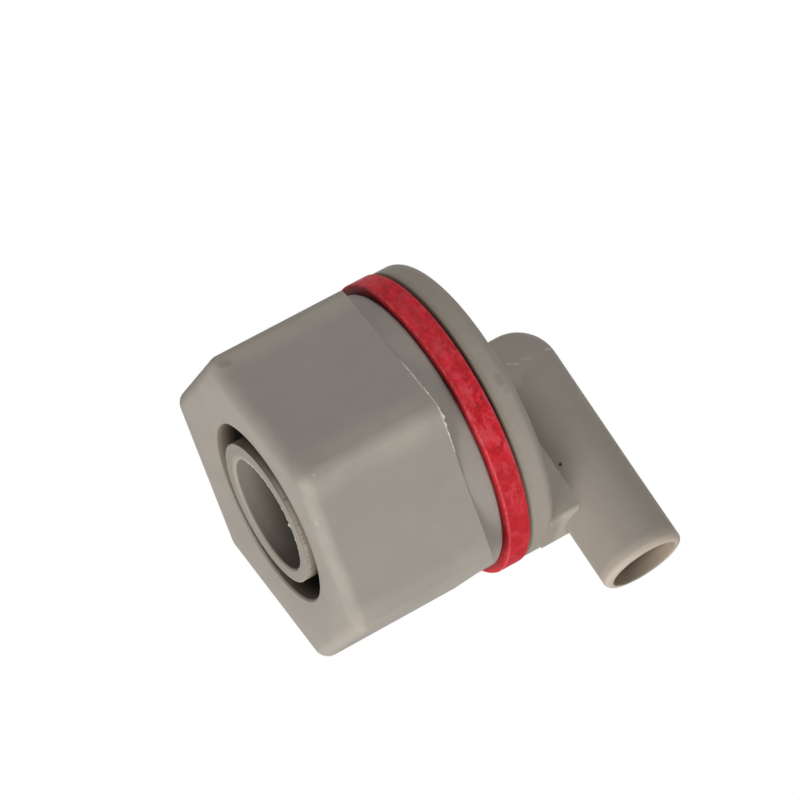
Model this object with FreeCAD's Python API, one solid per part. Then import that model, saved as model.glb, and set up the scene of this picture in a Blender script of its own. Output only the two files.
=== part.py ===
import FreeCAD
import Part
import math
import os

# Bulkhead elbow fitting: an elbow with a flange, a sealing washer and a hex nut, millimetres
# X is the main axis, from the nut's open end towards the elbow
# Z is up, and the hose spigot points down
# The origin is on the main axis, where the container's wall sits between nut and washer

# Hex nut
ACROSS_FLATS = 41.0
HEX_LENGTH = 21.1
HEX_EDGE_RADIUS = 2.0
HEX_RIDGE_RADIUS = 2.2
HEX_TURN_DEG = 14.4
COLLAR_DIAMETER = 40.9
COLLAR_LENGTH = 3.5
COLLAR_CHAMFER = 0.3
FACE_DISH_DEPTH = 0.55
FACE_DISH_MARGIN = 0.5
SOCKET_DIAMETER = 26.2
SOCKET_RIM_CHAMFER = 0.25
SOCKET_DEPTH = 11.0
NUT_REAR_CHAMFER = 0.6

# Screw thread, whose ridges fill the gap between the shank and the nut's bore
THREAD_DEPTH = 0.9
THREAD_CLEARANCE = 0.1

# Sealing washer
WASHER_DIAMETER = 43.4
WASHER_THICKNESS = 3.5
WASHER_CHAMFER = 0.25
WASHER_CLEARANCE = 0.1

# Flange, a little smaller than the washer
WASHER_PROUD = 0.2
FLANGE_THICKNESS = 4.4
FLANGE_FRONT_CHAMFER = 0.6
FLANGE_REAR_RADIUS = 1.6

# Nozzle tube in the nut's open end, whose bore sits a little low in it
NOZZLE_DIAMETER = 20.6
NOZZLE_BORE = 16.3
NOZZLE_BORE_DROP = 0.3
NOZZLE_RECESS = 0.4
NOZZLE_BORE_CHAMFER = 0.25
NOZZLE_BORE_FLOOR = 4.6

# Elbow and hose spigot
SPIGOT_DIAMETER = 12.0
SPIGOT_BORE = 9.8
SPIGOT_OFFSET = 7.8
SPIGOT_DROP = 31.3
SPIGOT_LIP_RADIUS = 0.8
ELBOW_DRAFT_DEG = 0.35

# Block between the flange and the spigot
BLOCK_WIDTH = 8.7
BLOCK_EDGE_RADIUS = 0.7

# Places along the main axis that follow from the sizes
WALL_SEAT_X = 0.0
HEX_REAR_X = WALL_SEAT_X - COLLAR_LENGTH
NUT_FRONT_X = HEX_REAR_X - HEX_LENGTH
SHANK_END_X = NUT_FRONT_X + SOCKET_DEPTH
NOZZLE_END_X = NUT_FRONT_X + NOZZLE_RECESS
FLANGE_FRONT_X = WALL_SEAT_X + WASHER_THICKNESS
FLANGE_BACK_X = FLANGE_FRONT_X + FLANGE_THICKNESS
BORE_FLOOR_X = FLANGE_BACK_X - NOZZLE_BORE_FLOOR
SPIGOT_X = FLANGE_BACK_X + SPIGOT_OFFSET

# Radii that follow from the sizes
FACE_DISH_RADIUS = ACROSS_FLATS / 2 - HEX_EDGE_RADIUS - FACE_DISH_MARGIN
NUT_BORE_RADIUS = SOCKET_DIAMETER / 2
NECK_RADIUS = NUT_BORE_RADIUS - THREAD_CLEARANCE
SHANK_RADIUS = NECK_RADIUS - THREAD_DEPTH
WASHER_BORE_RADIUS = NECK_RADIUS + WASHER_CLEARANCE
WASHER_RADIUS = WASHER_DIAMETER / 2
FLANGE_RADIUS = WASHER_RADIUS - WASHER_PROUD
NOZZLE_RADIUS = NOZZLE_DIAMETER / 2
NOZZLE_BORE_RADIUS = NOZZLE_BORE / 2
COLLAR_RADIUS = COLLAR_DIAMETER / 2
SPIGOT_RADIUS = SPIGOT_DIAMETER / 2
ELBOW_RADIUS = SPIGOT_RADIUS + FLANGE_RADIUS * math.tan(math.radians(ELBOW_DRAFT_DEG))
SPIGOT_BORE_RADIUS = SPIGOT_BORE / 2

# How far a cutting tool reaches past the surface it cuts
OVERCUT = 2.0

X_AXIS = FreeCAD.Vector(1, 0, 0)
Z_AXIS = FreeCAD.Vector(0, 0, 1)
ORIGIN = FreeCAD.Vector(0, 0, 0)


SHARP = ("sharp", 0)


def rounded(radius):
    """Corner of an outline that is an arc of this radius."""
    return ("round", radius)


def chamfered(cut):
    """Corner of an outline that is cut straight, this far back along both sides."""
    return ("chamfer", cut)


def outline_face(corners, place):
    """Face with an outline of (u, v, corner kind); place turns (u, v) into a point."""
    count = len(corners)
    points = [place(u, v) for u, v, kind in corners]
    entries = []
    exits = []
    corner_edges = []
    for i in range(count):
        here = points[i]
        kind, size = corners[i][2]
        back = (points[i - 1] - here).normalize()
        ahead = (points[(i + 1) % count] - here).normalize()
        half_angle = back.getAngle(ahead) / 2
        reach = size / math.tan(half_angle) if kind == "round" else size
        entry = here + back * reach
        leave = here + ahead * reach
        entries.append(entry)
        exits.append(leave)
        if kind == "round":
            middle = (back + ahead).normalize()
            depth = size / math.sin(half_angle) - size
            corner_edges.append(Part.Arc(entry, here + middle * depth, leave).toShape())
        elif kind == "chamfer":
            corner_edges.append(Part.makeLine(entry, leave))
        else:
            corner_edges.append(None)
    edges = []
    for i in range(count):
        if corner_edges[i]:
            edges.append(corner_edges[i])
        following = entries[(i + 1) % count]
        if exits[i].distanceToPoint(following) > 1e-6:
            edges.append(Part.makeLine(exits[i], following))
    return Part.Face(Part.Wire(edges))


def turned_on_main_axis(corners):
    """Solid turned about the main axis from an (x, radius, corner kind) outline."""
    face = outline_face(corners, lambda x, r: FreeCAD.Vector(x, 0, r))
    return face.revolve(ORIGIN, X_AXIS, 360)


def turned_on_spigot_axis(corners):
    """Solid turned about the spigot's axis from a (z, radius, corner kind) outline."""
    face = outline_face(corners, lambda z, r: FreeCAD.Vector(SPIGOT_X + r, 0, z))
    return face.revolve(FreeCAD.Vector(SPIGOT_X, 0, 0), Z_AXIS, 360)


def edges_on_plane(shape, coordinate, value):
    """Edges whose whole length has this value of one coordinate, x, y or z."""
    found = []
    for edge in shape.Edges:
        box = edge.BoundBox
        low = getattr(box, coordinate + "Min")
        high = getattr(box, coordinate + "Max")
        if abs(low - value) < 1e-4 and abs(high - value) < 1e-4:
            found.append(edge)
    return found


def hexagon_prism():
    """Hexagon with rounded ridges, and a rounded edge all round its front face."""
    corner_distance = ACROSS_FLATS / 2 / math.cos(math.radians(30))
    corners = []
    for k in range(6):
        angle = math.radians(180 + HEX_TURN_DEG + 60 * k)
        corners.append((
            corner_distance * math.cos(angle),
            corner_distance * math.sin(angle),
            rounded(HEX_RIDGE_RADIUS),
        ))
    face = outline_face(corners, lambda y, z: FreeCAD.Vector(NUT_FRONT_X, y, z))
    prism = face.extrude(X_AXIS * HEX_LENGTH)
    edge_radius = min(HEX_EDGE_RADIUS, HEX_RIDGE_RADIUS - 0.1)
    return prism.makeFillet(edge_radius, edges_on_plane(prism, "X", NUT_FRONT_X))


def hex_nut():
    """Hexagon and round collar in one moulding, bored through, with its open face dished towards the socket."""
    collar = turned_on_main_axis([
        (HEX_REAR_X - OVERCUT, 0, SHARP),
        (HEX_REAR_X - OVERCUT, COLLAR_RADIUS, SHARP),
        (WALL_SEAT_X, COLLAR_RADIUS, chamfered(COLLAR_CHAMFER)),
        (WALL_SEAT_X, 0, SHARP),
    ])
    bore = turned_on_main_axis([
        (NUT_FRONT_X - OVERCUT, 0, SHARP),
        (NUT_FRONT_X - OVERCUT, FACE_DISH_RADIUS, SHARP),
        (NUT_FRONT_X, FACE_DISH_RADIUS, SHARP),
        (NUT_FRONT_X + FACE_DISH_DEPTH, NUT_BORE_RADIUS, chamfered(SOCKET_RIM_CHAMFER)),
        (WALL_SEAT_X - NUT_REAR_CHAMFER, NUT_BORE_RADIUS, SHARP),
        (WALL_SEAT_X + OVERCUT, NUT_BORE_RADIUS + NUT_REAR_CHAMFER + OVERCUT, SHARP),
        (WALL_SEAT_X + OVERCUT, 0, SHARP),
    ])
    return hexagon_prism().fuse(collar).cut(bore).removeSplitter()


def sealing_washer():
    """Flat ring that slides over the shank's plain neck."""
    return turned_on_main_axis([
        (WALL_SEAT_X, WASHER_BORE_RADIUS, SHARP),
        (WALL_SEAT_X, WASHER_RADIUS, chamfered(WASHER_CHAMFER)),
        (FLANGE_FRONT_X, WASHER_RADIUS, chamfered(WASHER_CHAMFER)),
        (FLANGE_FRONT_X, WASHER_BORE_RADIUS, SHARP),
    ])


def turned_body():
    """Nozzle tube, shank, plain neck and flange, all round the main axis."""
    return turned_on_main_axis([
        (NOZZLE_END_X, 0, SHARP),
        (NOZZLE_END_X, NOZZLE_RADIUS, SHARP),
        (SHANK_END_X, NOZZLE_RADIUS, SHARP),
        (SHANK_END_X, SHANK_RADIUS, SHARP),
        (WALL_SEAT_X, SHANK_RADIUS, SHARP),
        (WALL_SEAT_X, NECK_RADIUS, SHARP),
        (FLANGE_FRONT_X, NECK_RADIUS, SHARP),
        (FLANGE_FRONT_X, FLANGE_RADIUS, chamfered(FLANGE_FRONT_CHAMFER)),
        (FLANGE_BACK_X, FLANGE_RADIUS, rounded(FLANGE_REAR_RADIUS)),
        (FLANGE_BACK_X, 0, SHARP),
    ])


def leg_and_spigot():
    """Leg behind the flange, ball corner, and the drop that tapers to the straight spigot."""
    leg_start = FreeCAD.Vector(BORE_FLOOR_X, 0, 0)
    leg = Part.makeCylinder(ELBOW_RADIUS, SPIGOT_X - BORE_FLOOR_X, leg_start, X_AXIS)
    corner = Part.makeSphere(ELBOW_RADIUS, FreeCAD.Vector(SPIGOT_X, 0, 0))
    spigot = turned_on_spigot_axis([
        (0, 0, SHARP),
        (0, ELBOW_RADIUS, SHARP),
        (-FLANGE_RADIUS, SPIGOT_RADIUS, SHARP),
        (-SPIGOT_DROP, SPIGOT_RADIUS, rounded(SPIGOT_LIP_RADIUS)),
        (-SPIGOT_DROP, 0, SHARP),
    ])
    return leg.fuse([corner, spigot])


def block():
    """Block under the leg, level with the flange's rim and grown over its rounding."""
    start_x = FLANGE_BACK_X - FLANGE_REAR_RADIUS
    corner = FreeCAD.Vector(start_x, -BLOCK_WIDTH / 2, -FLANGE_RADIUS)
    box = Part.makeBox(SPIGOT_X - start_x, BLOCK_WIDTH, FLANGE_RADIUS, corner)
    lower_edges = [
        edge for edge in edges_on_plane(box, "Z", -FLANGE_RADIUS)
        if edge.BoundBox.XLength > BLOCK_EDGE_RADIUS
    ]
    return box.makeFillet(BLOCK_EDGE_RADIUS, lower_edges)


def milk_passage():
    """Wide bore from the nozzle, then a narrow one through the leg, round the corner and down the spigot."""
    mouth = NOZZLE_BORE_RADIUS + NOZZLE_BORE_CHAMFER + OVERCUT
    wide = turned_on_main_axis([
        (NOZZLE_END_X - OVERCUT, 0, SHARP),
        (NOZZLE_END_X - OVERCUT, mouth, SHARP),
        (NOZZLE_END_X, mouth, SHARP),
        (NOZZLE_END_X, NOZZLE_BORE_RADIUS, chamfered(NOZZLE_BORE_CHAMFER)),
        (BORE_FLOOR_X, NOZZLE_BORE_RADIUS, SHARP),
        (BORE_FLOOR_X, 0, SHARP),
    ])
    wide.translate(Z_AXIS * -NOZZLE_BORE_DROP)
    start = FreeCAD.Vector(BORE_FLOOR_X - OVERCUT, 0, 0)
    turning_point = FreeCAD.Vector(SPIGOT_X, 0, 0)
    narrow = Part.makeCylinder(SPIGOT_BORE_RADIUS, SPIGOT_X - start.x, start, X_AXIS)
    corner = Part.makeSphere(SPIGOT_BORE_RADIUS, turning_point)
    down = Part.makeCylinder(SPIGOT_BORE_RADIUS, SPIGOT_DROP + OVERCUT, turning_point, Z_AXIS * -1)
    return wide.fuse([narrow, corner, down])


def elbow_body():
    """The elbow moulding: turned body, leg, spigot and block, with the passage cut through."""
    solid = turned_body().fuse([leg_and_spigot(), block()])
    return solid.cut(milk_passage()).removeSplitter()


def only_solid(shape):
    """The one solid that the shape holds."""
    return shape.Solids[0]


NODES = {
    "hex_nut": hex_nut,
    "sealing_washer": sealing_washer,
    "elbow_body": elbow_body,
}

os.makedirs("parts", exist_ok=True)
for name, make in NODES.items():
    shape = make()
    solid = only_solid(shape)
    print(name, "solids", len(shape.Solids), "valid", solid.isValid(), "volume", round(solid.Volume, 1))
    solid.exportStep("parts/" + name + ".step")
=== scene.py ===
"""Looks of a plastic bulkhead elbow: finishes, screw thread, moulding flash, camera and light."""
import math

import bpy
from mathutils import Matrix, Vector, noise


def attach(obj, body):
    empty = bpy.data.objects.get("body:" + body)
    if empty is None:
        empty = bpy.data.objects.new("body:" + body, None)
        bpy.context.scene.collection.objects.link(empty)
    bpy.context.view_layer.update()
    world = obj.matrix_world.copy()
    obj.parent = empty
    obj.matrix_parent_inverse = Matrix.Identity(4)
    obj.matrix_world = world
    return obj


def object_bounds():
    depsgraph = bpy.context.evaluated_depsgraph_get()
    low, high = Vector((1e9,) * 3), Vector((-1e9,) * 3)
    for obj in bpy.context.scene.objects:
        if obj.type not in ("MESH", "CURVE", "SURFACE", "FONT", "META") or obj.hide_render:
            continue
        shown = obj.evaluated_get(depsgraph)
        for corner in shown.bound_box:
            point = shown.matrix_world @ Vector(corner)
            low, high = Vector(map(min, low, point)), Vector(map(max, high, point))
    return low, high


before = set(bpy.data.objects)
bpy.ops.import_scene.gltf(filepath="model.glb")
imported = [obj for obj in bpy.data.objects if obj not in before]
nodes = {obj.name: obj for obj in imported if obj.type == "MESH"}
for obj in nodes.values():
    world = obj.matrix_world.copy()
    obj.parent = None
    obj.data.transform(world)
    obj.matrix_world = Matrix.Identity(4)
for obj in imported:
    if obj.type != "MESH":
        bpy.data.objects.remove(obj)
cad_low, cad_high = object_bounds()

MM = 0.001
SMOOTH_ANGLE = math.radians(28)
WELD_DISTANCE = 1e-7

# Camera, as fitted to the photograph's edges, in metres
CAMERA_PLACE = (-0.15782, -0.49020, -0.15982)
CAMERA_RIGHT = (0.84331, -0.09350, -0.52923)
CAMERA_UP = (0.45123, -0.41170, 0.79176)
CAMERA_LENS = 181.074

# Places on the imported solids, in millimetres
NUT_FRONT_X = -24.6
NOZZLE_END_X = -24.2
SOCKET_FLOOR_X = -13.6
HEX_REAR_X = -3.5
WALL_SEAT_X = 0.0
WASHER_MIDDLE_X = 1.75
BORE_FLOOR_X = 3.3
FLANGE_FRONT_X = 3.5
FLANGE_BACK_X = 7.9
SPIGOT_X = 15.7
SPIGOT_END_Z = -31.3
BORE_DROP = 0.3

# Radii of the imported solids, in millimetres
NUT_BORE_RADIUS = 13.1
SHANK_RADIUS = 12.1
NOZZLE_RADIUS = 10.3
NOZZLE_BORE_RADIUS = 8.15
BORE_EDGE_RADIUS = 8.4
COLLAR_RADIUS = 20.45
WASHER_RADIUS = 21.7
FLANGE_RADIUS = 21.5
SPIGOT_RADIUS = 6.0
SPIGOT_BORE_RADIUS = 4.9

# Hexagon, in millimetres; its angles are taken round the main axis
HEX_FLAT_DISTANCE = 20.5
HEX_RIDGE_RADIUS = 2.2
HEX_RIDGE_ANGLE = math.radians(194.4)
HEX_HALF_FLAT_ANGLE = math.radians(30)

# Screw thread inside the nut, in millimetres
PITCH = 1.8143
THREAD_HEIGHT = 0.9
THREAD_ROOT_HALF = 0.62
THREAD_CREST_HALF = 0.20
THREAD_SUNK = 0.06
FADE_TURNS = 0.4
LEAST_FADE = 0.02
UNTHREADED_TURNS = 0.8
SHANK_SHIFT = 0.45
NUT_SHIFT = 0.95
STEPS_PER_TURN = 72

# Finish colours, linear
NUT_GREY = (0.330, 0.304, 0.268)
ELBOW_GREY = (0.336, 0.299, 0.254)
# The next grey is both wear and a painted highlight on ridges and edges.
WEAR_AND_HIGHLIGHT_GREY = (0.45, 0.40, 0.34, 1.0)
# The next brown is painted light on the walls of the gap under the nut.
PAINTED_LIGHT_BROWN = (0.43, 0.36, 0.28, 1.0)
# The next two creams are a painted highlight on the spigot's lip and painted light on the nozzle's
# outside.
PAINTED_LIP_HIGHLIGHT = (0.53, 0.46, 0.385, 1.0)
PAINTED_RIM_LIGHT = (0.70, 0.61, 0.51, 1.0)
THROAT_BROWN = (0.40, 0.315, 0.23, 1.0)
# The next four colours are painted shade in hollows, from lightest to darkest.
PAINTED_SHALLOW_SHADE = (0.27, 0.205, 0.15, 1.0)
PAINTED_GROOVE_SHADE = (0.20, 0.15, 0.085, 1.0)
PAINTED_SHADE_BROWN = (0.13, 0.10, 0.075, 1.0)
PAINTED_SHADE_BLACK = (0.015, 0.012, 0.010, 1.0)
RED = (0.72, 0.020, 0.035)
RED_DARK = (0.56, 0.010, 0.019)
RED_BLOOM = (0.76, 0.085, 0.105)
# The next red is both fine hairs in the rubber and a painted highlight along the washer's edges.
RED_HAIRS_AND_EDGE_HIGHLIGHT = (0.62, 0.15, 0.17, 1.0)
# The next red is both dark marks on the rubber and a painted shadow by the collar.
RED_MARKS_AND_SHADOW = (0.16, 0.012, 0.016, 1.0)
# The next colour is for pale marks, flash and ticks, and also painted light on the underside of the
# block.
PALE = (0.68, 0.64, 0.56, 1.0)
SMUDGE = (0.16, 0.13, 0.10, 1.0)
BLACK = (0.012, 0.010, 0.010, 1.0)

# Small marks, in millimetres: from, to, radius, strength, colour
NUT_MARKS = (
    ((-22.3, -22.6, -5.9), (-22.3, -22.6, -5.9), 0.22, 0.35, PALE),
    ((-24.2, -17.9, -10.0), (-24.1, -17.5, -10.5), 0.17, 0.4, PALE),
    ((-16.9, -16.5, -12.4), (-15.9, -16.5, -12.4), 0.25, 0.08, PALE),
    ((-9.8, -12.4, -16.7), (-9.2, -12.4, -16.7), 0.30, 0.07, PALE),
    ((-23.2, -17.2, 15.5), (-22.3, -17.1, 14.9), 0.80, 0.30, SMUDGE),
    ((-3.2, -20.2, 1.3), (-3.0, -20.2, 0.9), 0.22, 0.6, PALE),
    ((-0.3, -20.1, 2.6), (-0.2, -20.2, 1.9), 0.14, 0.6, PALE),
    ((-0.3, -20.2, 0.9), (-0.2, -20.2, 0.6), 0.14, 0.6, PALE),
    ((-24.1, -13.4, -4.2), (-24.1, -13.4, -4.2), 0.20, 0.8, PALE),
)
ELBOW_MARKS = (
    ((12.1, -4.8, -15.0), (12.1, -4.8, -15.0), 0.34, 0.95, BLACK),
    ((6.1, -20.8, -5.4), (6.1, -20.6, -6.2), 0.70, 0.35, SMUDGE),
    ((6.3, -20.3, -7.2), (6.3, -20.2, -7.5), 0.45, 0.25, SMUDGE),
    ((13.4, -6.1, 0.4), (14.6, -6.1, -0.3), 0.20, 0.35, PALE),
    ((15.4, -6.1, 0.1), (16.6, -6.1, -0.4), 0.16, 0.25, PALE),
    ((19.6, -4.7, 0.1), (20.7, -3.6, 0.2), 0.20, 0.60, PALE),
)
WASHER_MARKS = (
    ((2.9, -21.2, 4.4), (2.7, -21.3, 4.0), 0.24, 0.45, RED_MARKS_AND_SHADOW),
    ((3.3, -21.6, 0.5), (3.2, -21.6, 0.4), 0.24, 0.70, RED_MARKS_AND_SHADOW),
    ((2.7, -21.7, -0.4), (2.5, -21.7, -0.6), 0.20, 0.55, RED_MARKS_AND_SHADOW),
    ((2.0, -21.4, -3.8), (2.2, -21.3, -4.0), 0.20, 0.50, RED_MARKS_AND_SHADOW),
    ((2.1, -21.2, -4.8), (1.9, -21.1, -5.0), 0.20, 0.50, RED_MARKS_AND_SHADOW),
    ((2.8, -20.6, -6.7), (2.7, -20.5, -6.9), 0.24, 0.60, RED_MARKS_AND_SHADOW),
    ((2.0, -20.5, -7.2), (1.7, -20.4, -7.5), 0.20, 0.65, RED_MARKS_AND_SHADOW),
)

# Light; lamps have a direction to the camera's right, up and back, a distance in metres, and a power
AMBIENT = 0.03
FLOOR_DROP = 0.6
FLOOR_HALF = 12.0
LAMP_SIZE = 0.28
LAMPS = (
    ("low_left_front", (-0.45, -0.60, 0.65), 0.5, 1.34),
    ("low_left", (-0.60, -0.80, 0.05), 0.5, 0.72),
    ("below_front", (0.00, -0.90, 0.40), 0.5, 0.32),
    ("right_low", (0.65, -0.65, 0.40), 0.5, 0.84),
    ("top", (0.00, 0.90, 0.40), 0.5, 0.72),
    ("back", (0.10, 0.10, -1.00), 0.5, 0.67),
    ("back_far", (0.00, 0.00, -1.00), 2.0, 18.0),
    ("front_high", (0.34, 0.50, 0.77), 0.5, 0.47),
)


# Mesh helpers

def new_piece(name, points, faces, body, material):
    """One mesh piece of grey plastic that rides on a body; points are in millimetres."""
    mesh = bpy.data.meshes.new(name)
    mesh.from_pydata([tuple(Vector(point) * MM) for point in points], [], faces)
    mesh.validate()
    mesh.shade_smooth()
    mesh.set_sharp_from_angle(angle=SMOOTH_ANGLE)
    mesh.materials.append(material)
    piece = bpy.data.objects.new(name, mesh)
    bpy.context.scene.collection.objects.link(piece)
    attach(piece, body)
    return piece


def tube_faces(sections, corners):
    """Faces of a closed tube whose sections have this many corners, numbered one after another."""
    faces = []
    for section in range(sections - 1):
        for side in range(corners):
            near = corners * section + side
            far = corners * section + (side + 1) % corners
            faces.append((near, near + corners, far + corners, far))
    last = corners * (sections - 1)
    faces.append(tuple(range(corners)))
    faces.append(tuple(last + corners - 1 - side for side in range(corners)))
    return faces


def smooth_group():
    """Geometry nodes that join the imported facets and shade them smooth, save over sharp edges."""
    group = bpy.data.node_groups.new("smooth_by_angle", "GeometryNodeTree")
    group.interface.new_socket("Geometry", in_out="INPUT", socket_type="NodeSocketGeometry")
    group.interface.new_socket("Geometry", in_out="OUTPUT", socket_type="NodeSocketGeometry")
    entry = group.nodes.new("NodeGroupInput")
    strip = group.nodes.new("GeometryNodeRemoveAttribute")
    strip.inputs["Name"].default_value = "custom_normal"
    weld = group.nodes.new("GeometryNodeMergeByDistance")
    weld.inputs["Distance"].default_value = WELD_DISTANCE
    faces = group.nodes.new("GeometryNodeSetShadeSmooth")
    faces.domain = "FACE"
    angle = group.nodes.new("GeometryNodeInputMeshEdgeAngle")
    sharp = group.nodes.new("FunctionNodeCompare")
    sharp.data_type = "FLOAT"
    sharp.operation = "GREATER_THAN"
    sharp.inputs["B"].default_value = SMOOTH_ANGLE
    smooth_all = group.nodes.new("GeometryNodeSetShadeSmooth")
    smooth_all.domain = "EDGE"
    edges = group.nodes.new("GeometryNodeSetShadeSmooth")
    edges.domain = "EDGE"
    edges.inputs["Shade Smooth"].default_value = False
    leave = group.nodes.new("NodeGroupOutput")
    link = group.links.new
    link(entry.outputs[0], strip.inputs["Geometry"])
    link(strip.outputs[0], weld.inputs["Geometry"])
    link(weld.outputs[0], faces.inputs["Geometry"])
    link(faces.outputs[0], smooth_all.inputs["Geometry"])
    link(smooth_all.outputs[0], edges.inputs["Geometry"])
    link(angle.outputs["Unsigned Angle"], sharp.inputs["A"])
    link(sharp.outputs["Result"], edges.inputs["Selection"])
    link(edges.outputs[0], leave.inputs[0])
    return group


# Finishes

class Finish:
    """A node material under construction, with short calls for its nodes; lengths in millimetres."""

    def __init__(self, name):
        self.material = bpy.data.materials.new(name)
        self.material.use_nodes = True
        self.tree = self.material.node_tree
        self.tree.nodes.clear()
        output = self.tree.nodes.new("ShaderNodeOutputMaterial")
        self.shader = self.tree.nodes.new("ShaderNodeBsdfPrincipled")
        self.tree.links.new(self.shader.outputs[0], output.inputs["Surface"])
        coordinates = self.tree.nodes.new("ShaderNodeTexCoord")
        self.place = self.vector("SCALE", coordinates.outputs["Object"], scale=1 / MM)
        split = self.tree.nodes.new("ShaderNodeSeparateXYZ")
        self.put(self.place, split.inputs[0])
        self.along = split.outputs["X"]
        self.height = split.outputs["Z"]
        across = self.math("POWER", split.outputs["Y"], 2.0)
        upward = self.math("POWER", split.outputs["Z"], 2.0)
        self.radius = self.math("SQRT", self.math("ADD", across, upward))
        wobble = self.tree.nodes.new("ShaderNodeTexNoise")
        self.put(self.place, wobble.inputs["Vector"])
        wobble.inputs["Scale"].default_value = 3.0
        centred = self.vector("SUBTRACT", wobble.outputs["Color"], (0.5, 0.5, 0.5))
        self.ragged_place = self.vector("ADD", self.place, self.vector("SCALE", centred, scale=0.5))

    def put(self, value, socket):
        """Links an output to a socket, or sets a plain value on it."""
        if isinstance(value, bpy.types.NodeSocket):
            self.tree.links.new(value, socket)
        else:
            socket.default_value = value

    def vector(self, operation, first, second=None, scale=None):
        node = self.tree.nodes.new("ShaderNodeVectorMath")
        node.operation = operation
        self.put(first, node.inputs[0])
        if second is not None:
            self.put(second, node.inputs[1])
        if scale is not None:
            self.put(scale, node.inputs["Scale"])
        gives_number = operation in ("DISTANCE", "DOT_PRODUCT", "LENGTH")
        return node.outputs["Value" if gives_number else "Vector"]

    def math(self, operation, first, second=0.0):
        node = self.tree.nodes.new("ShaderNodeMath")
        node.operation = operation
        self.put(first, node.inputs[0])
        self.put(second, node.inputs[1])
        return node.outputs[0]

    def times(self, *values):
        product = values[0]
        for value in values[1:]:
            product = self.math("MULTIPLY", product, value)
        return product

    def stretched(self, factors):
        """The object's coordinates, scaled along its axes."""
        return self.vector("MULTIPLY", self.place, factors)

    def noise(self, scale, detail=3.0, roughness=0.55, distortion=0.0, place=None):
        node = self.tree.nodes.new("ShaderNodeTexNoise")
        self.put(place or self.place, node.inputs["Vector"])
        node.inputs["Scale"].default_value = scale
        node.inputs["Detail"].default_value = detail
        node.inputs["Roughness"].default_value = roughness
        node.inputs["Distortion"].default_value = distortion
        return node.outputs["Fac"]

    def ramp(self, value, low, high, bottom=0.0, top=1.0):
        """value taken from low..high to bottom..top, held at the ends."""
        node = self.tree.nodes.new("ShaderNodeMapRange")
        node.clamp = True
        for socket, given in zip(node.inputs, (value, low, high, bottom, top)):
            self.put(given, socket)
        return node.outputs["Result"]

    def within(self, value, low, high, blur):
        """1 between low and high, falling to 0 over blur on both sides."""
        rise = self.ramp(value, low - blur, low)
        fall = self.ramp(value, high, high + blur, 1.0, 0.0)
        return self.times(rise, fall)

    def mix(self, share, first, second):
        """Two colours mixed by share."""
        node = self.tree.nodes.new("ShaderNodeMix")
        node.data_type = "RGBA"
        self.put(share, node.inputs["Factor"])
        colour_inputs = [socket for socket in node.inputs if socket.type == "RGBA"]
        self.put(first, colour_inputs[0])
        self.put(second, colour_inputs[1])
        return [socket for socket in node.outputs if socket.type == "RGBA"][0]

    def coat(self, colour, over, *shares):
        """The colour with another one over it, by the product of the shares."""
        return self.mix(self.times(*shares), colour, over)

    def bump(self, height, strength, distance, normal):
        node = self.tree.nodes.new("ShaderNodeBump")
        node.inputs["Strength"].default_value = strength
        node.inputs["Distance"].default_value = distance * MM
        self.put(height, node.inputs["Height"])
        self.put(normal, node.inputs["Normal"])
        return node.outputs[0]

    def soft_edges(self, radius):
        node = self.tree.nodes.new("ShaderNodeBevel")
        node.samples = 4
        node.inputs["Radius"].default_value = radius * MM
        return node.outputs[0]

    def marked(self, colour, marks):
        """The colour with small marks on it, each along a short line, with ragged edges."""
        for start, end, radius, strength, mark_colour in marks:
            start, reach = Vector(start), Vector(end) - Vector(start)
            from_start = self.vector("SUBTRACT", self.ragged_place, start)
            nearest = (0.0, 0.0, 0.0)
            if reach.length > 0:
                share = self.vector("DOT_PRODUCT", from_start, reach / reach.length_squared)
                nearest = self.vector("SCALE", reach, scale=self.ramp(share, 0.0, 1.0))
            distance = self.vector("DISTANCE", from_start, nearest)
            share = self.ramp(distance, radius * 0.4, radius, strength, 0.0)
            colour = self.mix(share, colour, mark_colour)
        return colour


def tint(colour, factor):
    return tuple(c * factor for c in colour) + (1.0,)


def moulded_grey(name, grey):
    """Satin moulded plastic under construction, with its clouding and the colour so far."""
    finish = Finish(name)
    cloud = finish.noise(0.09, 4.0, 0.6)
    patches = finish.noise(0.33, 2.0, 0.5)
    grain = finish.noise(2.6, 2.0, 0.6)
    colour = finish.mix(finish.ramp(cloud, 0.35, 0.68), tint(grey, 0.96), tint(grey, 1.04))
    colour = finish.mix(finish.ramp(patches, 0.35, 0.70, 0.0, 0.12), colour, WEAR_AND_HIGHLIGHT_GREY)
    colour = finish.mix(finish.ramp(grain, 0.62, 0.80, 0.0, 0.25), colour, tint(grey, 1.25))
    finish.shader.inputs["Specular IOR Level"].default_value = 0.3
    finish.put(finish.ramp(cloud, 0.3, 0.7, 0.62, 0.72), finish.shader.inputs["Roughness"])
    rounded = finish.soft_edges(0.22)
    waves = finish.bump(finish.noise(0.16, 2.0, 0.5), 0.25, 0.18, rounded)
    finish.put(finish.bump(grain, 0.30, 0.03, waves), finish.shader.inputs["Normal"])
    return finish, cloud, colour


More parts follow.
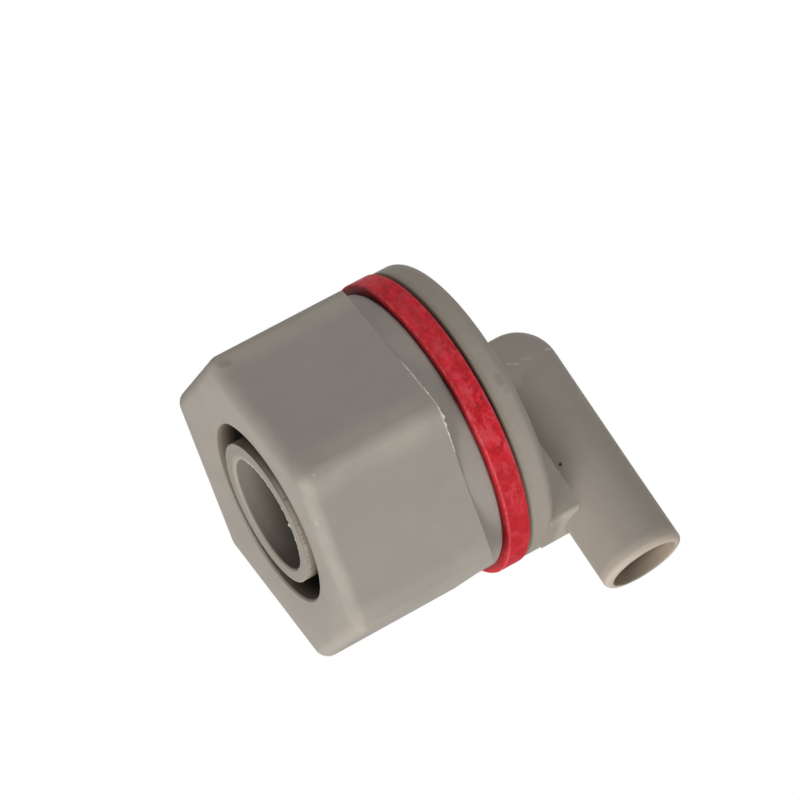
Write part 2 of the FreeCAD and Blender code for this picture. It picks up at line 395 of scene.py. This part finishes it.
def nut_plastic():
    """The nut's plastic: worn front face, a painted highlight on the hexagon's ridges, painted light
    at the mouth of the socket wall and painted shade deeper in the socket, and its marks.
    """
    finish, cloud, colour = moulded_grey("grey_plastic_nut", NUT_GREY)
    along, radius = finish.along, finish.radius
    uneven = finish.math("ADD", along, finish.times(finish.noise(0.22, 2.0, 0.5), 2.4))
    front = finish.ramp(uneven, NUT_FRONT_X + 1.0, NUT_FRONT_X + 3.0, 0.7, 0.0)
    past_bore = finish.ramp(radius, NUT_BORE_RADIUS - 0.1, NUT_BORE_RADIUS + 0.3)
    colour = finish.coat(colour, WEAR_AND_HIGHLIGHT_GREY, front, past_bore)
    # Painted highlight along the hexagon's ridges, in the wear grey, broken up by the clouding.
    ridge_highlight = finish.ramp(radius, HEX_FLAT_DISTANCE + 1.3, HEX_FLAT_DISTANCE + 2.1, 0.0, 0.55)
    colour = finish.coat(colour, WEAR_AND_HIGHLIGHT_GREY, ridge_highlight, finish.ramp(cloud, 0.40, 0.60, 0.5, 1.0))

    inner, outer = NUT_BORE_RADIUS - 0.6, NUT_BORE_RADIUS + 0.15
    # Painted light: the socket wall's first millimetre, lighter and browner where it meets the
    # front.
    lit_depth = finish.ramp(along, NUT_FRONT_X + 0.9, NUT_FRONT_X + 1.7, 0.4, 0.0)
    colour = finish.coat(colour, PAINTED_LIGHT_BROWN, finish.within(radius, inner, outer, 0.2), lit_depth)
    wall = finish.within(radius, inner, outer, 0.1)
    # Painted shade down the socket wall: browner, then black, the deeper it goes.
    for depth, blur, depth_colour in (
        (1.9, 0.8, PAINTED_SHALLOW_SHADE),
        (2.8, 1.6, PAINTED_SHADE_BROWN),
        (3.6, 1.6, PAINTED_SHADE_BLACK),
    ):
        deeper = finish.within(along, NUT_FRONT_X + depth, SOCKET_FLOOR_X - 0.1, blur)
        colour = finish.coat(colour, depth_colour, wall, deeper)
    finish.put(finish.marked(colour, NUT_MARKS), finish.shader.inputs["Base Color"])
    return finish.material


def nozzle_painted_light_shade_and_ticks(finish, colour):
    """Painted light on the nozzle's outside just behind its end, stronger low down, painted light
    and shade further down into the gap under the nut, and pale ticks near the end.
    """
    along = finish.along
    outside = finish.within(finish.radius, NOZZLE_RADIUS - 0.15, SHANK_RADIUS + 0.1, 0.1)
    ticks = finish.noise(3.2, 2.0, 0.5, 0.0, finish.stretched((0.15, 1.0, 1.0)))
    raggedness = finish.times(finish.math("SUBTRACT", ticks, 0.5), -2.0)
    ragged_along = finish.math("ADD", along, raggedness)
    # Painted light on the outside just behind the nozzle's end, stronger low down.
    rim_light = finish.within(along, NOZZLE_END_X + 0.3, NOZZLE_END_X + 0.5, 0.4)
    rim_light = finish.times(rim_light, finish.ramp(finish.height, 0.0, 8.0, 0.9, 0.3))
    colour = finish.coat(colour, PAINTED_RIM_LIGHT, outside, rim_light)
    # Painted light and shade down the nozzle's outside into the gap: a ragged lit brown band, then
    # brown and black painted shade.
    for place, depth, blur, depth_colour in (
        (ragged_along, 0.85, 0.4, PAINTED_LIGHT_BROWN),
        (along, 1.7, 0.9, PAINTED_SHADE_BROWN),
        (along, 2.3, 1.0, PAINTED_SHADE_BLACK),
    ):
        deeper = finish.within(place, NOZZLE_END_X + depth, SOCKET_FLOOR_X + 0.1, blur)
        colour = finish.coat(colour, depth_colour, outside, deeper)
    broken = finish.noise(0.8, 2.0, 0.5)
    return finish.coat(
        colour,
        PALE,
        outside,
        finish.ramp(ticks, 0.52, 0.64),
        finish.ramp(broken, 0.42, 0.58),
        finish.ramp(along, NOZZLE_END_X + 0.3, NOZZLE_END_X + 1.1, 0.25, 0.0),
    )


def nozzle_mouth(finish, colour):
    """Painted highlight on the edge of the nozzle's bore, and painted shade deep inside it."""
    radius = finish.radius
    # Painted highlight round the edge of the bore's mouth.
    mouth_highlight = finish.within(radius, NOZZLE_BORE_RADIUS - 0.2, NOZZLE_BORE_RADIUS + 0.4, 0.1)
    mouth_depth = finish.ramp(finish.along, NOZZLE_END_X + 0.2, NOZZLE_END_X + 0.6, 0.8, 0.0)
    colour = finish.coat(colour, WEAR_AND_HIGHLIGHT_GREY, mouth_highlight, mouth_depth)
    # Painted shade deep inside the bore.
    inside = finish.ramp(radius, NOZZLE_BORE_RADIUS + 0.6, NOZZLE_BORE_RADIUS + 0.7, 1.0, 0.0)
    deep = finish.within(finish.along, NOZZLE_END_X + 4.5, BORE_FLOOR_X - 0.3, 2.8)
    return finish.coat(colour, PAINTED_SHADE_BROWN, inside, deep, 0.9)


def spigot_tones(finish, colour):
    """Painted highlight on the hose spigot's lip, its brown bore with painted shade deeper down, and
    painted light on the underside of the block beside it.
    """
    height = finish.height
    flat_place = finish.vector("MULTIPLY", finish.place, (1.0, 1.0, 0.0))
    from_axis = finish.vector("SUBTRACT", flat_place, (SPIGOT_X, 0.0, 0.0))
    spigot_radius = finish.vector("LENGTH", from_axis)
    # Painted highlight round the spigot's lip.
    lip_highlight = finish.ramp(height, SPIGOT_END_Z + 0.4, SPIGOT_END_Z + 2.0, 0.9, 0.0)
    colour = finish.mix(lip_highlight, colour, PAINTED_LIP_HIGHLIGHT)
    bore_edge = SPIGOT_BORE_RADIUS + 0.04
    bore_wall = finish.ramp(spigot_radius, bore_edge, bore_edge + 0.1, 0.85, 0.0)
    # Brown just inside the spigot's bore, then painted shade deeper down.
    for depth, blur, depth_colour in ((0.4, 0.5, THROAT_BROWN), (3.7, 2.2, PAINTED_SHADE_BROWN)):
        deeper = finish.within(height, SPIGOT_END_Z + depth, -20.0, blur)
        colour = finish.coat(colour, depth_colour, bore_wall, deeper)
    # Painted light on the underside of the block beside the spigot.
    return finish.coat(
        colour,
        PALE,
        finish.ramp(height, 0.3 - FLANGE_RADIUS, 0.7 - FLANGE_RADIUS, 1.0, 0.0),
        finish.within(finish.along, FLANGE_BACK_X + 0.9, 14.0, 1.2),
        finish.ramp(spigot_radius, SPIGOT_RADIUS + 0.15, SPIGOT_RADIUS + 0.25),
        0.4,
    )


def washer_groove(finish, colour):
    """Painted shade in the groove between the flange and the washer, weaker low down."""
    groove = finish.times(
        finish.ramp(finish.radius, FLANGE_RADIUS - 1.3, FLANGE_RADIUS - 0.9),
        finish.ramp(finish.height, -20.0, -8.0, 0.3, 1.0),
    )
    start = FLANGE_FRONT_X - 0.1
    wide = finish.within(finish.along, start, FLANGE_FRONT_X + 0.3, 1.1)
    colour = finish.coat(colour, PAINTED_GROOVE_SHADE, groove, wide, 0.6)
    narrow = finish.within(finish.along, start, FLANGE_FRONT_X + 0.22, 0.4)
    return finish.coat(colour, PAINTED_SHADE_BLACK, groove, narrow)


def elbow_plastic():
    """The elbow's plastic, with painted shade where the light doesn't reach, painted light and
    highlights on rims and edges, and its marks.
    """
    finish, _, colour = moulded_grey("grey_plastic_elbow", ELBOW_GREY)
    for add_tones in (nozzle_painted_light_shade_and_ticks, nozzle_mouth, spigot_tones, washer_groove):
        colour = add_tones(finish, colour)
    finish.put(finish.marked(colour, ELBOW_MARKS), finish.shader.inputs["Base Color"])
    return finish.material


def washer_rubber():
    """Mottled red rubber: darker rubbed patches, a paler bloom, painted shade towards the bottom, a
    painted shadow by the collar, and a painted highlight line along its edges.
    """
    finish = Finish("red_rubber_mottled")
    height = finish.height
    streaks = finish.stretched((1.0, 0.6, 0.6))
    cloud = finish.noise(0.95, 5.0, 0.65, 0.25, streaks)
    blotch = finish.noise(0.55, 6.0, 0.7, 0.4, streaks)
    crumbs = finish.noise(2.2, 3.0, 0.65, 0.4)
    hairs = finish.noise(0.8, 3.0, 0.6, 1.2)
    colour = finish.mix(finish.ramp(cloud, 0.43, 0.57), tint(RED_DARK, 0.92), tint(RED, 1.0))
    bloom = finish.ramp(height, -16.0, 6.0, 0.75, 0.35)
    colour = finish.coat(colour, tint(RED_BLOOM, 1.0), finish.ramp(blotch, 0.49, 0.60), bloom)
    colour = finish.coat(colour, tint(RED_DARK, 0.65), finish.ramp(crumbs, 0.61, 0.67, 0.0, 0.55))
    colour = finish.coat(colour, RED_HAIRS_AND_EDGE_HIGHLIGHT, finish.within(hairs, 0.497, 0.503, 0.006), 0.35)
    # Painted shade: darker towards the bottom.
    colour = finish.coat(colour, tint(RED_DARK, 0.8), finish.ramp(height, -21.0, -8.0, 0.6, 0.0))
    # Painted shadow on the washer's front face next to the collar, stronger higher up.
    colour = finish.coat(
        colour,
        RED_MARKS_AND_SHADOW,
        finish.ramp(finish.along, WALL_SEAT_X + 0.02, WALL_SEAT_X + 0.10, 0.9, 0.0),
        finish.within(finish.radius, COLLAR_RADIUS - 0.05, COLLAR_RADIUS + 0.45, 0.35),
        finish.ramp(height, -12.0, 4.0, 0.6, 1.0),
    )
    from_middle = finish.math("ABSOLUTE", finish.math("SUBTRACT", finish.along, WASHER_MIDDLE_X))
    # Painted highlight: a pale line along the washer's outer edges.
    colour = finish.coat(
        colour,
        RED_HAIRS_AND_EDGE_HIGHLIGHT,
        finish.ramp(from_middle, 1.42, 1.52),
        finish.ramp(finish.radius, WASHER_RADIUS - 0.20, WASHER_RADIUS - 0.14),
        finish.ramp(crumbs, 0.45, 0.58, 0.55, 0.1),
    )
    finish.put(finish.marked(colour, WASHER_MARKS), finish.shader.inputs["Base Color"])
    finish.shader.inputs["Specular IOR Level"].default_value = 0.18
    finish.shader.inputs["Roughness"].default_value = 0.6
    dimples = finish.bump(cloud, 0.30, 0.15, finish.soft_edges(0.2))
    finish.put(finish.bump(crumbs, 0.35, 0.06, dimples), finish.shader.inputs["Normal"])
    return finish.material


def flash_plastic():
    """Thin moulding flash, which lets light through and looks paler than the wall it stands on."""
    finish = Finish("grey_plastic_flash")
    grain = finish.noise(2.0, 3.0, 0.6)
    colour = finish.mix(finish.ramp(grain, 0.35, 0.60), tint(NUT_GREY, 1.3), PALE)
    finish.put(colour, finish.shader.inputs["Base Color"])
    finish.shader.inputs["Specular IOR Level"].default_value = 0.4
    finish.shader.inputs["Roughness"].default_value = 0.4
    roughened = finish.bump(grain, 0.4, 0.03, finish.soft_edges(0.03))
    finish.put(roughened, finish.shader.inputs["Normal"])
    return finish.material


nut_grey = nut_plastic()
elbow_grey = elbow_plastic()
node_finishes = {"hex_nut": nut_grey, "elbow_body": elbow_grey, "sealing_washer": washer_rubber()}
flash_grey = flash_plastic()
smoothing = smooth_group()

for node_name, node_finish in node_finishes.items():
    node = nodes[node_name]
    for slot in node.material_slots:
        slot.material = node_finish
    shade = node.modifiers.new("smooth", "NODES")
    shade.node_group = smoothing
    weights = node.modifiers.new("weighted", "WEIGHTED_NORMAL")
    weights.keep_sharp = True


# Screw thread between shank and nut

def thread(name, body, root_radius, crest_radius, shift, material):
    """A ridge along the thread's helix, which fades into its root at both ends."""
    root = root_radius - math.copysign(THREAD_SUNK, crest_radius - root_radius)
    turns = (WALL_SEAT_X - SOCKET_FLOOR_X) / PITCH - UNTHREADED_TURNS
    count = int(turns * STEPS_PER_TURN)
    points = []
    for step in range(count + 1):
        turn = step / STEPS_PER_TURN
        fade = min(1.0, turn / FADE_TURNS, (count - step) / STEPS_PER_TURN / FADE_TURNS)
        crest = root + (crest_radius - root) * max(fade, LEAST_FADE)
        along = WALL_SEAT_X - PITCH * (turn + shift)
        angle = 2 * math.pi * (turn + shift)
        for offset, radius in (
            (THREAD_ROOT_HALF, root),
            (THREAD_CREST_HALF, crest),
            (-THREAD_CREST_HALF, crest),
            (-THREAD_ROOT_HALF, root),
        ):
            points.append((along + offset, radius * math.cos(angle), -radius * math.sin(angle)))
    return new_piece(name, points, tube_faces(count + 1, 4), body, material)


thread("shank_thread", "elbow", SHANK_RADIUS, SHANK_RADIUS + THREAD_HEIGHT, SHANK_SHIFT, elbow_grey)
thread("nut_thread", "nut", NUT_BORE_RADIUS, NUT_BORE_RADIUS - THREAD_HEIGHT, NUT_SHIFT, nut_grey)


# Moulding flash

def ragged_height(place, pace, seed, low, rise):
    """Height of a ragged flash at a place along its edge."""
    coarse = noise.noise((place * pace, seed, 0.0))
    fine = noise.noise((place * pace * 3.1, seed, 7.0))
    unevenness = min(1.0, max(0.0, 0.5 + 0.9 * coarse + 0.5 * fine))
    return low + rise * unevenness ** 2


def burr_height(place, middle, half, top):
    """Height of a rounded burr at a place along the flash."""
    return top * max(0.0, 1 - ((place - middle) / half) ** 2)


def inside_box(point):
    """The point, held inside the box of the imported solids."""
    limits = zip(point, cad_low, cad_high)
    return [min(high / MM, max(low / MM, place)) for place, low, high in limits]


def fin(name, body, sections):
    """A thin ragged fin; each section is its front root, rear root and tip."""
    points = [inside_box(point) for section in sections for point in section]
    return new_piece(name, points, tube_faces(len(sections), 3), body, flash_grey)


def hexagon_edge(reach):
    """Point on the hexagon's outline, this far round from its front ridge, and its way outward."""
    tangent = HEX_RIDGE_RADIUS * math.tan(HEX_HALF_FLAT_ANGLE)
    apex = HEX_FLAT_DISTANCE / math.cos(HEX_HALF_FLAT_ANGLE)
    side = math.copysign(1, reach)
    facing = HEX_RIDGE_ANGLE - side * HEX_HALF_FLAT_ANGLE
    outward = Vector((0, math.cos(facing), math.sin(facing)))
    if abs(reach) >= tangent:
        onward = Vector((0, math.sin(facing), -math.cos(facing))) * side
        corner = Vector((0, math.cos(HEX_RIDGE_ANGLE), math.sin(HEX_RIDGE_ANGLE))) * apex
        return corner + onward * abs(reach), outward
    facing = HEX_RIDGE_ANGLE - reach / tangent * HEX_HALF_FLAT_ANGLE
    outward = Vector((0, math.cos(facing), math.sin(facing)))
    centre_distance = apex - HEX_RIDGE_RADIUS / math.cos(HEX_HALF_FLAT_ANGLE)
    centre = Vector((0, math.cos(HEX_RIDGE_ANGLE), math.sin(HEX_RIDGE_ANGLE))) * centre_distance
    return centre + outward * HEX_RIDGE_RADIUS, outward


def hexagon_flash():
    """Flash along the hexagon's rear edge, over the front ridge, with a burr below it."""
    first, last, step = -7.0, 9.4, 0.08
    root, sunk, least = 0.10, 0.01, 0.004
    sections = []
    count = int((last - first) / step)
    for i in range(count + 1):
        reach = first + i * step
        edge, outward = hexagon_edge(reach)
        ends = min(1.0, (reach - first) / 0.8, (last - reach) / 2.0)
        height = ragged_height(reach, pace=1.3, seed=3.0, low=0.03, rise=0.20) * max(0.0, ends)
        height += burr_height(reach, middle=-1.6, half=0.30, top=0.30)
        rear = Vector((HEX_REAR_X, 0, 0)) + edge
        lean = Vector((0.80, 0, 0)) + outward * 0.60
        sections.append((
            rear - Vector((root, 0, 0)) - outward * sunk,
            rear - outward * root - Vector((sunk, 0, 0)),
            rear + lean * (height + least),
        ))
    return fin("hexagon_flash", "nut", sections)


def bore_flash():
    """Ragged flash round the near half of the bore's mouth, with a burr standing into it."""
    first, last, steps = math.radians(120), math.radians(285), 260
    burr_middle, burr_half = math.radians(216.5), math.radians(2.6)
    outer_root, inner_root, depth, sunk, lean = 0.08, 0.06, 0.16, 0.01, 0.04
    centre = Vector((NOZZLE_END_X, 0, -BORE_DROP))
    sections = []
    for i in range(steps + 1):
        share = i / steps
        angle = first + (last - first) * share
        outward = Vector((0, math.cos(angle), math.sin(angle)))
        ends = min(1.0, share / 0.1, (1 - share) / 0.3)
        arc = angle * BORE_EDGE_RADIUS
        height = ragged_height(arc, pace=1.9, seed=11.0, low=0.05, rise=0.30) * ends
        height += burr_height(angle, burr_middle, burr_half, top=0.62)
        edge = centre + outward * BORE_EDGE_RADIUS
        sections.append((
            edge + outward * outer_root + Vector((sunk, 0, 0)),
            edge - outward * inner_root + Vector((depth, 0, 0)),
            edge - outward * (height + sunk) - Vector((lean, 0, 0)) * height,
        ))
    return fin("bore_flash", "elbow", sections)


hexagon_flash()
bore_flash()


# Studio

def lamp(name, towards, distance, power):
    """A square soft lamp, aimed at the object."""
    data = bpy.data.lights.new(name, "AREA")
    data.shape = "SQUARE"
    data.size = LAMP_SIZE
    data.energy = power
    light = bpy.data.objects.new(name, data)
    bpy.context.scene.collection.objects.link(light)
    direction = Vector(towards).normalized()
    light.location = direction * distance
    light.rotation_euler = direction.to_track_quat("Z", "Y").to_euler()


def studio_world():
    """White to the camera and in reflections, and a faint light otherwise."""
    world = bpy.data.worlds.new("studio")
    world.use_nodes = True
    tree = world.node_tree
    tree.nodes.clear()
    output = tree.nodes.new("ShaderNodeOutputWorld")
    light = tree.nodes.new("ShaderNodeBackground")
    light.inputs["Strength"].default_value = AMBIENT
    light.inputs["Color"].default_value = (1, 1, 1, 1)
    shown = tree.nodes.new("ShaderNodeBackground")
    shown.inputs["Color"].default_value = (1, 1, 1, 1)
    path = tree.nodes.new("ShaderNodeLightPath")
    either = tree.nodes.new("ShaderNodeMath")
    either.operation = "MAXIMUM"
    any_of = tree.nodes.new("ShaderNodeMath")
    any_of.operation = "MAXIMUM"
    mix = tree.nodes.new("ShaderNodeMixShader")
    link = tree.links.new
    link(path.outputs["Is Camera Ray"], either.inputs[0])
    link(path.outputs["Is Glossy Ray"], either.inputs[1])
    link(either.outputs[0], any_of.inputs[0])
    link(path.outputs["Is Transmission Ray"], any_of.inputs[1])
    link(any_of.outputs[0], mix.inputs[0])
    link(light.outputs[0], mix.inputs[1])
    link(shown.outputs[0], mix.inputs[2])
    link(mix.outputs[0], output.inputs[0])
    bpy.context.scene.world = world


def studio_floor():
    """A pale floor far below: it shows white to the camera and still takes the object's shadow."""
    corners = [(-1, -1), (1, -1), (1, 1), (-1, 1)]
    mesh = bpy.data.meshes.new("floor")
    mesh.from_pydata([(x * FLOOR_HALF, y * FLOOR_HALF, 0) for x, y in corners], [], [(0, 1, 2, 3)])
    floor = bpy.data.objects.new("floor", mesh)
    floor.location = (0, 0, -FLOOR_DROP)
    bpy.context.scene.collection.objects.link(floor)
    material = bpy.data.materials.new("pale_floor")
    material.use_nodes = True
    tree = material.node_tree
    shader = tree.nodes["Principled BSDF"]
    shader.inputs["Base Color"].default_value = (0.8, 0.8, 0.8, 1)
    shader.inputs["Roughness"].default_value = 0.9
    shader.inputs["Emission Color"].default_value = (1, 1, 1, 1)
    path = tree.nodes.new("ShaderNodeLightPath")
    tree.links.new(path.outputs["Is Camera Ray"], shader.inputs["Emission Strength"])
    mesh.materials.append(material)


studio_world()
studio_floor()

RIGHT, UP = Vector(CAMERA_RIGHT), Vector(CAMERA_UP)
BACK = RIGHT.cross(UP)
for lamp_name, (rightward, upward, backward), lamp_distance, lamp_power in LAMPS:
    lamp(lamp_name, rightward * RIGHT + upward * UP + backward * BACK, lamp_distance, lamp_power)

camera_data = bpy.data.cameras.new("camera")
camera_data.sensor_width = 36.0
camera_data.lens = CAMERA_LENS
camera_data.clip_start = 0.01
camera_data.clip_end = 100.0
camera = bpy.data.objects.new("camera", camera_data)
bpy.context.scene.collection.objects.link(camera)
turn = Matrix((RIGHT, UP, BACK)).transposed().to_4x4()
camera.matrix_world = Matrix.Translation(CAMERA_PLACE) @ turn
bpy.context.scene.camera = camera

bpy.context.scene.view_settings.view_transform = "Standard"
